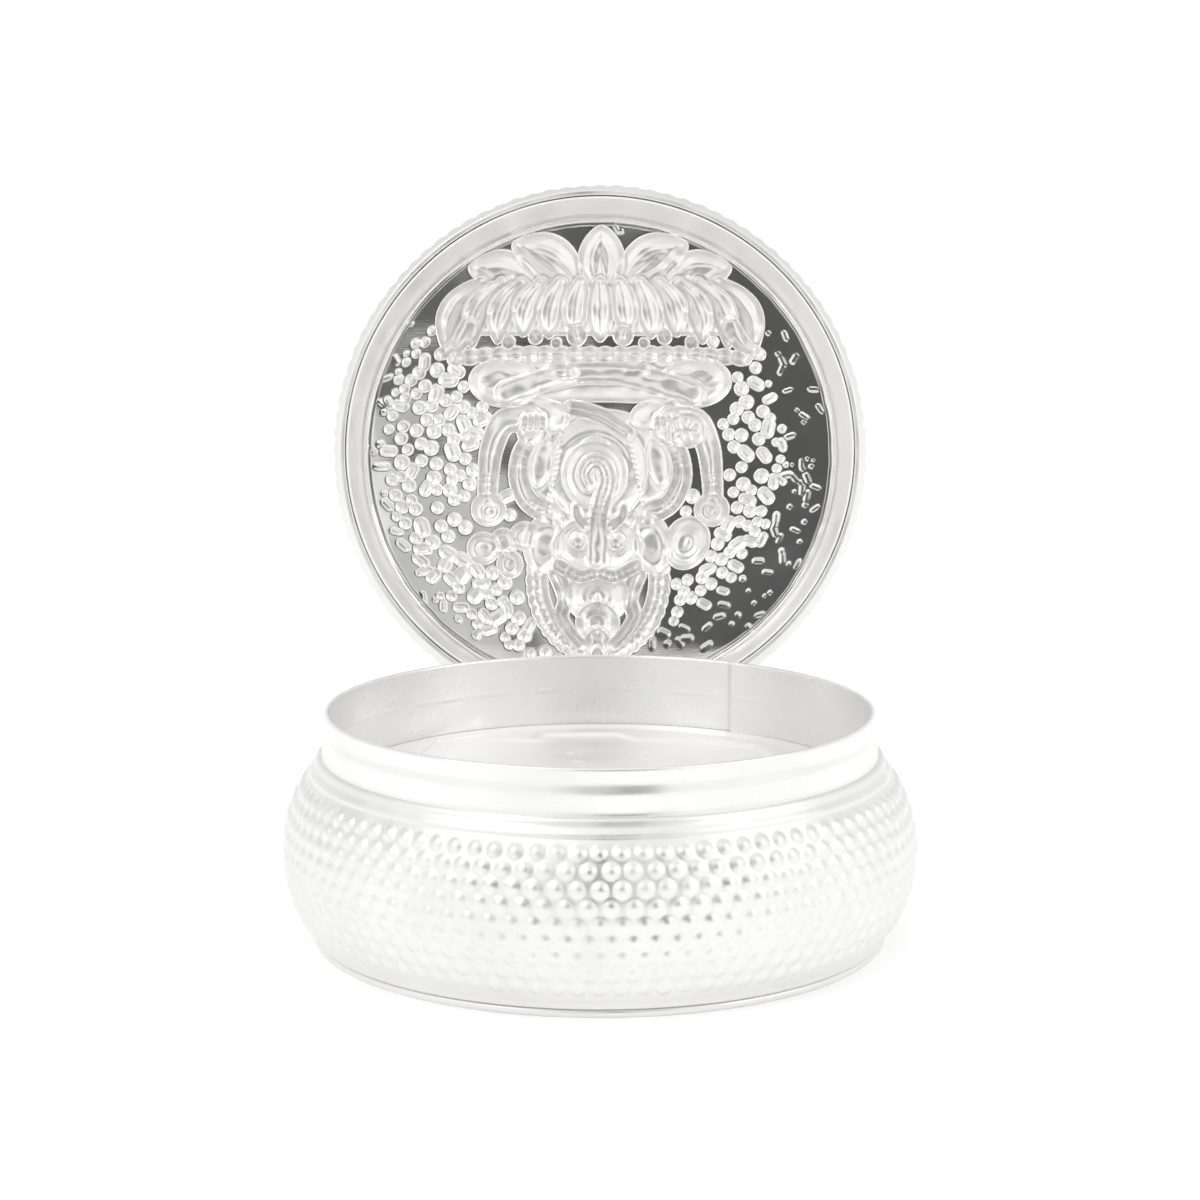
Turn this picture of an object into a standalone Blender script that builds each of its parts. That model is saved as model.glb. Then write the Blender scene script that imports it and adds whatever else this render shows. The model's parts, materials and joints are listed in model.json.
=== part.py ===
"""Round metal pill box with a hinged lid, modelled open.

Metres, +Z up. The origin is the middle of the underside. -Y is the front, and the hinge is at +Y.
The lid's pieces are children of an empty on the hinge axis. In that empty's own frame the lid is shut,
so turning the empty about X opens it.
"""

import math

import bmesh
import bpy
from mathutils import Matrix

MM = 0.001
SEGMENTS = 72  # sides of every turned piece
ARC_STEPS = 10
HINGE_SIDES = 24

# Driving dimensions
SHEET = 0.45 * MM
JOIN_GAP = 0.05 * MM  # left between pieces that are soldered together
BULGE_RADIUS = 20.85 * MM
BULGE_HEIGHT = 6.05 * MM  # height of the widest point
BULGE_ARC = 8.7 * MM  # radius of the wall's curve, seen from the side
SEAT_HEIGHT = 12.25 * MM  # the ledge that the lid's rim rests on
SEAT_RADIUS = 18.6 * MM
COLLAR_RADIUS = 18.05 * MM
RIM_HEIGHT = 15.2 * MM
TRAY_FLOOR_TOP = 10.0 * MM
PLATE_THICKNESS = 0.5 * MM
PLATE_RADIUS = 18.85 * MM

LID_DEPTH = 5.2 * MM  # from the lid's rim to its panel
LID_SHEET = 0.35 * MM
LID_BULGE_RADIUS = 19.3 * MM
LID_BULGE_DEPTH = 1.7 * MM
LID_ARC = 6.0 * MM
PANEL_RADIUS = 17.7 * MM
LINER_RIM_RADIUS = 18.45 * MM
LINER_FAR_RADIUS = 18.04 * MM
LINER_HEIGHT = 4.4 * MM
LINER_SHEET = 0.15 * MM

HINGE_RADIUS = 19.5 * MM  # distance of the pin from the box's own axis
HINGE_HEIGHT = 10.3 * MM
OPEN_ANGLE = math.radians(100.0)
KNUCKLE_RADIUS = 0.75 * MM
KNUCKLE_LENGTH = 2.4 * MM
LID_KNUCKLE_LENGTH = 3.0 * MM
KNUCKLE_GAP = 0.1 * MM  # between one knuckle's end and the next
PIN_RADIUS = 0.3 * MM
PIN_PROUD = 0.12 * MM  # how far the pin's ends stand out of the outer knuckles
TROUGH_SHEET = 0.38 * MM
TROUGH_END = 0.2 * MM  # room in the slot past each outer knuckle
RUNNING_GAP = 0.06 * MM
LEAF_WIDTH = 2.8 * MM
LEAF_TOP = 15.4 * MM
LEAF_CORNER = 0.9 * MM
LEAF_GAP = 0.15 * MM  # from the lid's widest point to the leaf
SOFT_EDGE = 0.1 * MM  # how far an edge is taken off
CUT_HALF = 10 * MM  # half the length of a cutter that goes right through

# Worked out from them
PARTING_HEIGHT = SEAT_HEIGHT + JOIN_GAP
ARC_CENTRE_RADIUS = BULGE_RADIUS - BULGE_ARC
LID_ARC_CENTRE_RADIUS = LID_BULGE_RADIUS - LID_ARC
BORE_RADIUS = PIN_RADIUS + RUNNING_GAP
TROUGH_RADIUS = KNUCKLE_RADIUS + RUNNING_GAP
TROUGH_OUTER_RADIUS = TROUGH_RADIUS + TROUGH_SHEET
HINGE_HALF_LENGTH = LID_KNUCKLE_LENGTH / 2 + KNUCKLE_GAP + KNUCKLE_LENGTH
CROSSWISE = Matrix.Rotation(math.pi / 2, 4, "Y")  # turns a cylinder's axis from Z to X


def clear_scene():
    for old in list(bpy.data.objects):
        bpy.data.objects.remove(old)


def metal(name, colour, roughness):
    material = bpy.data.materials.new(name)
    material.use_nodes = True
    shader = material.node_tree.nodes["Principled BSDF"]
    shader.inputs["Base Color"].default_value = (*colour, 1.0)
    shader.inputs["Metallic"].default_value = 1.0
    shader.inputs["Roughness"].default_value = roughness
    return material


def arc(centre, radius, start, end, steps=ARC_STEPS):
    """Points (distance from the axis, height) on an arc, from one angle to another in radians."""
    angles = [start + (end - start) * step / steps for step in range(steps + 1)]
    return [(centre[0] + radius * math.cos(a), centre[1] + radius * math.sin(a)) for a in angles]


def link(name, mesh_data, material, parent=None):
    piece = bpy.data.objects.new(name, mesh_data)
    bpy.context.scene.collection.objects.link(piece)
    if material:
        piece.data.materials.append(material)
    piece.parent = parent
    return piece


def finished_mesh(name, shape):
    """A mesh datablock made from a bmesh, with its faces turned outward and its curves smooth."""
    bmesh.ops.remove_doubles(shape, verts=shape.verts, dist=0.001 * MM)
    bmesh.ops.recalc_face_normals(shape, faces=shape.faces)
    mesh_data = bpy.data.meshes.new(name)
    shape.to_mesh(mesh_data)
    shape.free()
    mesh_data.shade_smooth()
    mesh_data.set_sharp_from_angle(angle=math.radians(35))
    return mesh_data


def turned(name, outline, material, parent=None, offset=(0.0, 0.0)):
    """A piece turned about the box's axis. The outline is a closed loop of (distance, height) points.

    The offset is the (y, z) place of the frame that the piece is built in.
    """
    shape = bmesh.new()
    on_axis = any(distance < 1e-9 for distance, _ in outline)
    points = [shape.verts.new((distance, 0.0, height)) for distance, height in outline]
    count = len(points) - 1 if on_axis else len(points)
    edges = [shape.edges.new((points[i], points[(i + 1) % len(points)])) for i in range(count)]
    bmesh.ops.spin(
        shape,
        geom=points + edges,
        cent=(0, 0, 0),
        axis=(0, 0, 1),
        angle=2 * math.pi,
        steps=SEGMENTS,
        use_merge=True,
    )
    bmesh.ops.translate(shape, verts=shape.verts, vec=(0.0, -offset[0], -offset[1]))
    return link(name, finished_mesh(name, shape), material, parent)


def disc(name, radius, low, high, edge, material, parent=None, offset=(0.0, 0.0)):
    """A turned disc whose rim has both its corners cut back by edge."""
    outline = [
        (0.0, low),
        (radius - edge, low),
        (radius, low + edge),
        (radius, high - edge),
        (radius - edge, high),
        (0.0, high),
    ]
    return turned(name, outline, material, parent, offset)


def rod(name, radius, start, end, material, parent=None, place=(0.0, 0.0, 0.0)):
    """A cylinder along X, from start to end, with its axis through place."""
    shape = bmesh.new()
    bmesh.ops.create_cone(
        shape,
        cap_ends=True,
        segments=HINGE_SIDES,
        radius1=radius,
        radius2=radius,
        depth=end - start,
        matrix=Matrix.Translation(((start + end) / 2, 0, 0)) @ CROSSWISE,
    )
    piece = link(name, finished_mesh(name, shape), material, parent)
    piece.location = place
    return piece


def helper(piece):
    """Marks a piece that only cuts others."""
    piece.hide_render = True
    piece.display_type = "WIRE"
    return piece


def boolean(piece, other, operation="DIFFERENCE"):
    modifier = piece.modifiers.new(operation.title(), "BOOLEAN")
    modifier.operation = operation
    modifier.object = other
    modifier.solver = "EXACT"


def body_outline(outer_only=False):
    """The bulging wall in section: one arc outside, one inside, and the lid's seat at the top."""
    centre = (ARC_CENTRE_RADIUS, BULGE_HEIGHT)
    wall_top = math.acos((SEAT_RADIUS + 0.12 * MM - centre[0]) / BULGE_ARC)
    wall_bottom = math.asin((PLATE_THICKNESS + JOIN_GAP - centre[1]) / BULGE_ARC)
    outer = arc(centre, BULGE_ARC, wall_bottom, wall_top)
    if outer_only:
        return outer
    inner_arc = BULGE_ARC - SHEET
    inner_top = math.asin((SEAT_HEIGHT - 0.75 * MM - centre[1]) / inner_arc)
    inner_bottom = math.asin((PLATE_THICKNESS + JOIN_GAP - centre[1]) / inner_arc)
    seat_inner = COLLAR_RADIUS + JOIN_GAP
    seat = [
        (SEAT_RADIUS, SEAT_HEIGHT - 0.1 * MM),
        (SEAT_RADIUS - 0.1 * MM, SEAT_HEIGHT),
        (seat_inner, SEAT_HEIGHT),
        (seat_inner, SEAT_HEIGHT - SHEET),
    ]
    return outer + seat + arc(centre, inner_arc, inner_top, inner_bottom)


def make_base(silver, inside_silver):
    body_shell = turned("body_shell", body_outline(), silver)
    disc("base_plate", PLATE_RADIUS, 0.0, PLATE_THICKNESS, SOFT_EDGE, silver)

    inner = COLLAR_RADIUS - SHEET
    foot = TRAY_FLOOR_TOP - PLATE_THICKNESS
    turned(
        "collar",
        [
            (inner, foot),
            (COLLAR_RADIUS, foot),
            (COLLAR_RADIUS, RIM_HEIGHT - SOFT_EDGE),
            (COLLAR_RADIUS - SOFT_EDGE, RIM_HEIGHT),
            (inner + SOFT_EDGE, RIM_HEIGHT),
            (inner, RIM_HEIGHT - SOFT_EDGE),
        ],
        inside_silver,
    )
    disc("tray_floor", inner - JOIN_GAP, foot, TRAY_FLOOR_TOP, SOFT_EDGE, inside_silver)
    return body_shell


def make_base_hinge(body_shell, silver):
    """The trough let into the back of the wall, its two knuckles and the pin."""
    axis = (0.0, HINGE_RADIUS, HINGE_HEIGHT)
    slot_half = HINGE_HALF_LENGTH + TROUGH_END
    slot = helper(rod("slot_cutter", TROUGH_OUTER_RADIUS + JOIN_GAP, -slot_half, slot_half, None, place=axis))
    boolean(body_shell, slot)

    trough_half = slot_half - JOIN_GAP
    trough_piece = rod("hinge_trough", TROUGH_OUTER_RADIUS, -trough_half, trough_half, silver, place=axis)
    barrel_room = rod("barrel_cutter", TROUGH_RADIUS, -CUT_HALF, CUT_HALF, None, place=axis)
    boolean(trough_piece, helper(barrel_room))
    outside = body_outline(outer_only=True)
    filled_body = turned("body_volume", [(0.0, outside[0][1])] + outside + [(0.0, outside[-1][1])], None)
    boolean(trough_piece, helper(filled_body), "INTERSECT")

    bore = helper(rod("base_bore_cutter", BORE_RADIUS, -CUT_HALF, CUT_HALF, None, place=axis))
    inner_end = LID_KNUCKLE_LENGTH / 2 + KNUCKLE_GAP
    for side, start, end in (
        ("left", -HINGE_HALF_LENGTH, -inner_end),
        ("right", inner_end, HINGE_HALF_LENGTH),
    ):
        knuckle = rod(f"base_knuckle_{side}", KNUCKLE_RADIUS, start, end, silver, place=axis)
        boolean(knuckle, bore)
    pin_half = HINGE_HALF_LENGTH + PIN_PROUD
    rod("hinge_pin", PIN_RADIUS, -pin_half, pin_half, silver, place=axis)


def make_lid_pivot():
    pivot = bpy.data.objects.new("lid_pivot", None)
    bpy.context.scene.collection.objects.link(pivot)
    pivot.location = (0.0, HINGE_RADIUS, HINGE_HEIGHT)
    pivot.rotation_euler = (-OPEN_ANGLE, 0.0, 0.0)
    return pivot


def make_lid(pivot, silver, inside_silver, stamped_silver):
    offset = (HINGE_RADIUS, HINGE_HEIGHT)
    rim = PARTING_HEIGHT
    centre = (LID_ARC_CENTRE_RADIUS, rim + LID_BULGE_DEPTH)
    inner_arc = LID_ARC - LID_SHEET
    reach = PANEL_RADIUS + JOIN_GAP - centre[0]
    outside = arc(centre, LID_ARC, math.asin(-LID_BULGE_DEPTH / LID_ARC), math.acos(reach / LID_ARC))
    inside = arc(centre, inner_arc, math.acos(reach / inner_arc), math.asin(-LID_BULGE_DEPTH / inner_arc))
    turned("lid_shell", outside + inside, silver, pivot, offset)
    turned(
        "lid_liner",
        [
            (LINER_RIM_RADIUS, rim),
            (LINER_RIM_RADIUS + LINER_SHEET, rim),
            (LINER_FAR_RADIUS + LINER_SHEET, rim + LINER_HEIGHT),
            (LINER_FAR_RADIUS, rim + LINER_HEIGHT),
        ],
        inside_silver,
        pivot,
        offset,
    )
    panel_low = rim + LID_DEPTH
    disc("lid_panel", PANEL_RADIUS, panel_low, panel_low + SHEET, SOFT_EDGE, stamped_silver, pivot, offset)


def make_lid_hinge(pivot, silver):
    """The lid's knuckle, and the leaf that joins it to the back of the lid's wall."""
    half = LID_KNUCKLE_LENGTH / 2
    knuckle = rod("lid_knuckle", KNUCKLE_RADIUS, -half, half, silver, pivot)
    boolean(knuckle, helper(rod("lid_bore_cutter", BORE_RADIUS, -CUT_HALF, CUT_HALF, None, pivot)))

    inner_face = LID_BULGE_RADIUS + LEAF_GAP - HINGE_RADIUS
    shape = bmesh.new()
    bmesh.ops.create_cube(shape, size=1.0)
    bmesh.ops.scale(shape, verts=shape.verts, vec=(LEAF_WIDTH, SHEET, LEAF_TOP - HINGE_HEIGHT))
    bmesh.ops.translate(
        shape, verts=shape.verts, vec=(0, inner_face + SHEET / 2, (LEAF_TOP - HINGE_HEIGHT) / 2)
    )
    uprights = [
        edge
        for edge in shape.edges
        if min(vert.co.z for vert in edge.verts) > 0.001 * MM
        and abs(edge.verts[0].co.y - edge.verts[1].co.y) > 0.1 * MM
    ]
    bmesh.ops.bevel(shape, geom=uprights, offset=LEAF_CORNER, segments=5, affect="EDGES", profile=0.5)
    leaf = link("lid_hinge_leaf", finished_mesh("lid_hinge_leaf", shape), silver, pivot)
    seat = rod("leaf_cutter", KNUCKLE_RADIUS + JOIN_GAP, -CUT_HALF, CUT_HALF, None, pivot)
    boolean(leaf, helper(seat))


def main():
    clear_scene()
    silver = metal("polished_silver", (0.94, 0.93, 0.91), 0.15)
    inside_silver = metal("satin_silver", (0.92, 0.91, 0.89), 0.28)
    stamped_silver = metal("stamped_silver", (0.95, 0.94, 0.92), 0.08)
    body_shell = make_base(silver, inside_silver)
    make_base_hinge(body_shell, silver)
    pivot = make_lid_pivot()
    make_lid(pivot, silver, inside_silver, stamped_silver)
    make_lid_hinge(pivot, silver)


main()
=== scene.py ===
"""The looks of a round silver pill box with a hinged lid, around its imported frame.

Lengths in this script are millimetres until add_piece() turns them into metres. The lid's pieces are
built shut, in the box's own frame, and then turned open about the hinge.
"""

import json
import math

import bpy
import numpy as np
from mathutils import Matrix, Vector


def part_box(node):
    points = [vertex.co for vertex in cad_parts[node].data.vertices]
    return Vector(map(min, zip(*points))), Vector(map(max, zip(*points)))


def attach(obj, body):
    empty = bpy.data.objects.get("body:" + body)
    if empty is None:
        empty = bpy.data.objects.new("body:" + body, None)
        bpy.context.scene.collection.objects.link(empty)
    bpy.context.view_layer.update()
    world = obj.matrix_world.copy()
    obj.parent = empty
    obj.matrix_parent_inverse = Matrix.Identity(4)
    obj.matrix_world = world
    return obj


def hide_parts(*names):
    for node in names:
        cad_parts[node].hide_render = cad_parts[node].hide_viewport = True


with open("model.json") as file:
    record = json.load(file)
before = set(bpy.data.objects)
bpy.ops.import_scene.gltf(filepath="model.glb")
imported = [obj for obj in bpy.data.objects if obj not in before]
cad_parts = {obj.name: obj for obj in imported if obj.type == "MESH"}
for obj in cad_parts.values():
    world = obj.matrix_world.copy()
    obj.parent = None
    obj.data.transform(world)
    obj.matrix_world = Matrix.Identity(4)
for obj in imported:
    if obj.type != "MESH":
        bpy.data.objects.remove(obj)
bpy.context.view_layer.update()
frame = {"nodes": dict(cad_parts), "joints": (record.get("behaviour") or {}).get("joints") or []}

MM = 0.001
TAU = 2 * math.pi

# Sizes read from the frame
HINGE = frame["joints"][0]
PIVOT = Vector(HINGE["pos_m"])
OPEN_ANGLE = math.radians(max(HINGE["range_deg"]))
LID_TURN = Matrix.Rotation(-OPEN_ANGLE, 4, "X")
SHUT_TO_OPEN = Matrix.Translation(PIVOT) @ LID_TURN @ Matrix.Translation(-PIVOT)
PIVOT_Y = PIVOT.y / MM
PIVOT_Z = PIVOT.z / MM


def measured(node, shut=False):
    """A CAD node's lowest and highest corners in millimetres, with the lid shut if asked."""
    if not shut:
        return [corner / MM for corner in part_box(node)]
    turn = SHUT_TO_OPEN.inverted()
    corners = np.array([turn @ vert.co for vert in frame["nodes"][node].data.vertices]) / MM
    return Vector(corners.min(0)), Vector(corners.max(0))


BODY_RADIUS = measured("body_shell")[1].x
SEAT_HEIGHT = measured("body_shell")[1].z
FOOT_HEIGHT = measured("body_shell")[0].z
PLATE_RADIUS = measured("base_plate")[1].x
PLATE_TOP = measured("base_plate")[1].z
COLLAR_RADIUS = measured("collar")[1].x
COLLAR_FOOT = measured("collar")[0].z
RIM_HEIGHT = measured("collar")[1].z
FLOOR_RADIUS = measured("tray_floor")[1].x
FLOOR_TOP = measured("tray_floor")[1].z
LID_RIM = measured("lid_shell", shut=True)[0].z
LID_RADIUS = measured("lid_shell", shut=True)[1].x
PANEL_LOW = measured("lid_panel", shut=True)[0].z
PANEL_RADIUS = measured("lid_panel", shut=True)[1].x
LINER_TOP = measured("lid_liner", shut=True)[1].z
LINER_RADIUS = measured("lid_liner", shut=True)[1].x
LEAF_LOW, LEAF_HIGH = measured("lid_hinge_leaf", shut=True)
KNUCKLE_RADIUS = (measured("lid_knuckle")[1].z - measured("lid_knuckle")[0].z) / 2
TROUGH_HALF = measured("hinge_trough")[1].x

# The base's sheet
BULGE_HEIGHT = 6.05  # of the widest part above the table
BULGE_ARC = 8.7
BODY_SHEET = 0.4
SEAT_RADIUS = 18.6
JOIN_GAP = 0.05
BAND_INSET = 0.12  # of the beaded band behind the plain shoulder
TROUGH_ROOM = 1.24  # from the hinge's axis to the wall
SOLDER_REACH = 0.08  # from the tray floor's CAD edge to the collar
COLLAR_SHEET = 0.3
FLOOR_SHEET = 0.4
LAP_HEIGHT = 0.13
LAP_LENGTH = 0.7  # radians round the collar
SEAM_ANGLE = math.radians(180 - 31)

# The lid's sheet
LID_ARC = 6.0
LID_BULGE_DEPTH = 1.7
LID_SHEET = 0.35
LID_FULLNESS = 0.26
LINER_SHEET = 0.15
LINER_TAPER = 0.41
PANEL_SHEET = 0.22
PANEL_LIFT = 0.28  # of the ground above the panel's border
GROUND_RADIUS = 17.55

# The beads pressed in both walls
BEADS_ROUND = 96
BEAD_RADIUS = 0.6
BEAD_HEIGHT = 0.18
LID_BEAD_HEIGHT = 0.11
BODY_FIRST_ROW = math.radians(30.4)
BODY_ROW_STEP = math.radians(7.29)
BODY_ROWS = 9
LID_FIRST_ROW = math.radians(-1.0)
LID_ROW_STEP = math.radians(-11.0)
LID_ROWS = 4
POINTS_A_BEAD = 12

# The hinge
KNUCKLE_BORE = 0.36
WIRE_CORE = 0.005  # a barrel's bore, all but nothing
LEAF_CORNER = 0.9

# The ground's pebbles
PEBBLE_PITCH = 0.6
PEBBLE_HEIGHT = 0.25


def smooth(value, low, high):
    """0 below low, 1 above high, and a smooth step between."""
    t = np.clip((value - low) / (high - low), 0, 1)
    return t * t * (3 - 2 * t)


def waves(angle, seed, terms=6, highest=24):
    """A wandering line round a circle, about -1 to 1, the same each time for one seed."""
    random = np.random.default_rng(seed)
    total = np.zeros_like(angle)
    for _ in range(terms):
        share, turns, start = random.uniform(0.3, 1.0), random.integers(1, highest), random.uniform(0, TAU)
        total += share * np.cos(turns * angle + start)
    return total / terms * 1.6


# Meshes


def place_piece(name, mesh, body, slot, nodes, shut=False, finish=None):
    """Makes an object of the mesh, opens it with the lid if it was made shut, gives it its material, sets it
    under its body and hides the CAD nodes it stands for.
    """
    if shut:
        mesh.transform(SHUT_TO_OPEN)
    mesh.shade_smooth()
    mesh.materials.append(MATERIALS[finish or slot])
    piece = bpy.data.objects.new(name, mesh)
    bpy.context.scene.collection.objects.link(piece)
    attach(piece, body)
    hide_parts(*nodes)
    return piece


def add_piece(name, points, quads, body, slot, nodes, shut=False, finish=None):
    """A piece from arrays of points, in millimetres, and four-sided faces."""
    mesh = bpy.data.meshes.new(name)
    mesh.vertices.add(len(points))
    mesh.vertices.foreach_set("co", (np.asarray(points, np.float32) * MM).ravel())
    quads = np.asarray(quads, np.int32)
    mesh.loops.add(quads.size)
    mesh.loops.foreach_set("vertex_index", quads.ravel())
    mesh.polygons.add(len(quads))
    mesh.polygons.foreach_set("loop_start", np.arange(len(quads), dtype=np.int32) * quads.shape[1])
    mesh.polygons.foreach_set("loop_total", np.full(len(quads), quads.shape[1], np.int32))
    mesh.update(calc_edges=True)
    mesh.validate()
    return place_piece(name, mesh, body, slot, nodes, shut, finish)


def grid_quads(rows, columns, wrap_rows=False, wrap_columns=True):
    """Faces of a grid of rows times columns points, numbered row by row."""
    row = np.arange(rows if wrap_rows else rows - 1)
    column = np.arange(columns if wrap_columns else columns - 1)
    r, c = np.meshgrid(row, column, indexing="ij")
    r2, c2 = (r + 1) % rows, (c + 1) % columns
    quads = np.stack([r * columns + c, r2 * columns + c, r2 * columns + c2, r * columns + c2], -1)
    return quads.reshape(-1, 4)


def round_angles(columns):
    return np.arange(columns) * TAU / columns


def turned_points(radius, height, angles):
    """Points of a turned sheet, from arrays of rows times columns. Angle 0 is the front."""
    return np.stack([radius * np.sin(angles), -radius * np.cos(angles), height], -1)


def spun(outline, columns):
    """The two coordinates of an outline's points, each as rows times columns."""
    outline = np.array(outline)
    return np.repeat(outline[:, :1], columns, 1), np.repeat(outline[:, 1:2], columns, 1)


def add_turned(name, points, body, slot, nodes, shut=False, finish=None):
    """A piece from rows and columns of points round a closed section."""
    quads = grid_quads(points.shape[0], points.shape[1], wrap_rows=True)
    if shut:
        quads = quads[:, ::-1]
    add_piece(name, points.reshape(-1, 3), quads, body, slot, nodes, shut, finish)


def arc_rows(centre_radius, centre_height, arc, start, end, step):
    """Angles and (radius, height) rows of an arc in section, spaced by step."""
    count = max(3, int(abs(end - start) * arc / step) + 1)
    phi = np.linspace(start, end, count)
    return phi, centre_radius + arc * np.cos(phi), centre_height + arc * np.sin(phi)


def bead_field(angles, phi, radius, arc, first, step, rows, seed):
    """Height of the pressed beads, 0 to 1, in staggered rows."""
    random = np.random.default_rng(seed)
    row = np.clip(np.round((first - phi) / step), 0, rows - 1).astype(int)
    along = (first - row * step - phi) * arc
    turn = angles / TAU * BEADS_ROUND - 0.5 * (row % 2)  # counted in beads
    bead = np.round(turn).astype(int)
    grown = random.uniform(0.86, 1.08, (rows, BEADS_ROUND))[row, bead % BEADS_ROUND]
    moved = random.normal(0, 0.02, (rows, BEADS_ROUND, 2))[row, bead % BEADS_ROUND]
    across = (turn - bead) / BEADS_ROUND * TAU * radius + moved[..., 0]
    along = along + moved[..., 1]
    spread = (across**2 + along**2) / (BEAD_RADIUS * (0.5 + 0.5 * grown)) ** 2
    return grown * np.clip(1 - spread, 0, 1) ** 1.5


# Base


def body_outside(angles):
    """The beaded outside of the wall, from its top edge down: radius and height in rows and columns."""
    centre = BODY_RADIUS - BULGE_ARC
    top = math.acos((SEAT_RADIUS + BAND_INSET - centre) / BULGE_ARC)
    bottom = math.asin((FOOT_HEIGHT - BULGE_HEIGHT) / BULGE_ARC)
    phi, _, _ = arc_rows(centre, BULGE_HEIGHT, BULGE_ARC, top, bottom, 0.1)
    phi, angle = np.meshgrid(phi, angles, indexing="ij")
    beads = bead_field(
        angle, phi, BODY_RADIUS, BULGE_ARC, BODY_FIRST_ROW, BODY_ROW_STEP, BODY_ROWS, seed=11
    )
    height = BULGE_HEIGHT + BULGE_ARC * np.sin(phi)
    radius = centre + BULGE_ARC * np.cos(phi)
    plain = 1 - near_trough(radius, height, angle)
    above = (phi - BODY_FIRST_ROW) * BULGE_ARC
    groove = np.exp(-(((above - 0.95) / 0.13) ** 2)) * plain
    inset = BAND_INSET * smooth(above, 1.1, 0.8) * smooth(phi - bottom, 0.0, 0.05)
    push = BEAD_HEIGHT * (beads * plain) - inset - 0.04 * groove
    uneven = 0.025 * waves(angle, 3)
    push = push + uneven * smooth(phi, top, top - 0.1) * smooth(phi, bottom, bottom + 0.1)
    return radius + push * np.cos(phi), height + push * np.sin(phi)


def near_trough(radius, height, angle):
    """1 where the wall is left plain round the hinge trough, 0 elsewhere."""
    x, y = np.sin(angle), -np.cos(angle)
    return (
        smooth(TROUGH_HALF + 0.9 - np.abs(x * radius), 0, 0.5)
        * smooth(y, 0, 0.2)
        * smooth(height, PIVOT_Z - 2.4, PIVOT_Z - 1.9)
    )


def body_inside():
    """The section's points up the inside of the wall and back out over the ledge."""
    centre = BODY_RADIUS - BULGE_ARC
    seat_inner = COLLAR_RADIUS + JOIN_GAP
    ledge = [
        (seat_inner, SEAT_HEIGHT - BODY_SHEET),
        (seat_inner, SEAT_HEIGHT),
        (seat_inner + 0.12, SEAT_HEIGHT),
        (SEAT_RADIUS - 0.14, SEAT_HEIGHT),
        (SEAT_RADIUS - 0.06, SEAT_HEIGHT - 0.05),
        (SEAT_RADIUS, SEAT_HEIGHT - 0.13),
        (SEAT_RADIUS + 0.06, SEAT_HEIGHT - 0.28),
    ]
    arc = BULGE_ARC - BODY_SHEET
    top = math.asin((SEAT_HEIGHT - 0.75 - BULGE_HEIGHT) / arc)
    bottom = math.asin((FOOT_HEIGHT - BULGE_HEIGHT) / arc)
    _, radius, height = arc_rows(centre, BULGE_HEIGHT, arc, bottom, top, 0.6)
    return list(zip(radius, height)) + ledge


def let_in_trough(points, room):
    """Presses the wall in, to clear the round trough that the hinge lies in."""
    off_z = points[..., 2] - PIVOT_Z
    face = PIVOT_Y - np.sqrt(np.clip(room**2 - off_z**2, 0, None))
    inside = (np.abs(points[..., 0]) < TROUGH_HALF + 0.05) & (np.abs(off_z) < room) & (points[..., 1] > face)
    points[..., 1] = np.where(inside, face, points[..., 1])
    return points


def make_body():
    angles = round_angles(BEADS_ROUND * POINTS_A_BEAD)
    inside = body_inside()
    inside_radius, inside_height = spun(inside, len(angles))
    outside_radius, outside_height = body_outside(angles)
    radius = np.vstack([outside_radius, inside_radius])
    height = np.vstack([outside_height, inside_height])
    room = np.full(radius.shape, TROUGH_ROOM)
    room[-len(inside):] = TROUGH_ROOM + 0.13
    points = let_in_trough(turned_points(radius, height, angles), room)
    add_turned("beaded_body", points, "base", "polished_silver", ["body_shell"])


def make_plate():
    """The flat bottom, which rests on a low ring round its edge."""
    angles = round_angles(256)
    edge, hub = PLATE_RADIUS, 0.02
    outline = [(hub, 0.14), (8.0, 0.14), (15.6, 0.14), (16.0, 0.12), (16.15, 0.03), (16.3, 0.0)]
    outline += [(edge - 0.2, 0.0), (edge - 0.09, 0.02), (edge - 0.02, 0.09), (edge, 0.2)]
    outline += [(edge, PLATE_TOP - 0.2), (edge - 0.02, PLATE_TOP - 0.09), (edge - 0.09, PLATE_TOP - 0.02)]
    outline += [(edge - 0.2, PLATE_TOP), (hub, PLATE_TOP)]
    points = turned_points(*spun(outline, len(angles)), angles)
    add_turned("foot_plate", points, "base", "polished_silver", ["base_plate"])


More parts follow.
